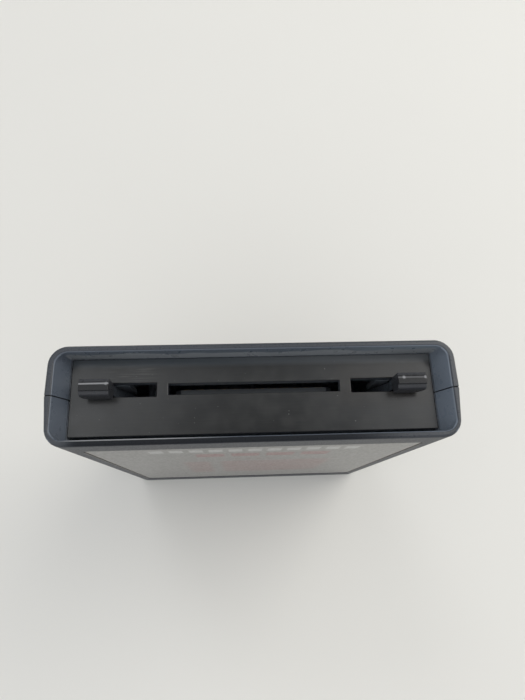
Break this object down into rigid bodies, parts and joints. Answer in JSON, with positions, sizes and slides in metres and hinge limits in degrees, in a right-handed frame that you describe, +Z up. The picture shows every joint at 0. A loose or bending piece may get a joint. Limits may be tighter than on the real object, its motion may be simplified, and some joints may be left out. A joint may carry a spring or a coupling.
{
  "type": "game cartridge",
  "caption": "Upright game cartridge in two moulded shells, with a sprung dust door over its board edge and two sprung latch arms that lock the door.",
  "frame": {"origin": "middle of the label end's face, on the surface that the cartridge stands on", "axes": "+Z up to the connector mouth, -Y toward the front label, +X to the right when the label is faced"},
  "size_m": [0.081, 0.0198, 0.0976],
  "materials": {
    "case_plastic": "fine stipple outside, smoother inside the mouth",
    "door_plastic": "satin, lightly scuffed",
    "latch_plastic": "satin with a burnished top edge",
    "spring_steel": "drawn wire",
    "board_laminate": "lacquered laminate",
    "contact_metal": "plated",
    "chip_plastic": "moulded",
    "lead_metal": "tinned",
    "solder": "satin",
    "capacitor_coat": "dipped",
    "screw_steel": "plated",
    "label_paper": "silver-grey, coated"
  },
  "bodies": {
    "case": {"front_shell": "case_plastic", "back_shell": "case_plastic", "left_door_spring": "spring_steel", "right_door_spring": "spring_steel", "circuit_board": "board_laminate", "front_contacts": "contact_metal", "back_contacts": "contact_metal", "rom_chip": "chip_plastic", "rom_chip_legs": "lead_metal", "solder_joints": "solder", "capacitor": "capacitor_coat", "capacitor_leads": "lead_metal", "assembly_screw": "screw_steel", "front_label": "label_paper", "end_label": "label_paper"},
    "door": {"dust_door": "door_plastic"},
    "left_arm": {"left_latch": "latch_plastic"},
    "right_arm": {"right_latch": "latch_plastic"}
  },
  "joints": [
    {"name": "door_slide", "type": "slide", "parent": "case", "child": "door", "axis": [0, 0, -1], "range_m": [0, 0.012], "stiffness_N_per_m": 50, "springref_m": -0.01, "deforming": ["left_door_spring", "right_door_spring"]},
    {"name": "left_latch_swing", "type": "hinge", "parent": "case", "child": "left_arm", "pos_m": [-0.0294, 0.00195, 0.046], "axis": [0, -1, 0], "range_deg": [0, 4], "stiffness_Nm_per_rad": 0.02},
    {"name": "right_latch_swing", "type": "hinge", "parent": "case", "child": "right_arm", "pos_m": [0.0294, 0.00195, 0.046], "axis": [0, 1, 0], "range_deg": [0, 4], "stiffness_Nm_per_rad": 0.02}
  ],
  "couplings": [
    {"joint": "left_latch_swing", "follows": "door_slide", "rad_per_m": 5.817},
    {"joint": "right_latch_swing", "follows": "door_slide", "rad_per_m": 5.817}
  ]
}
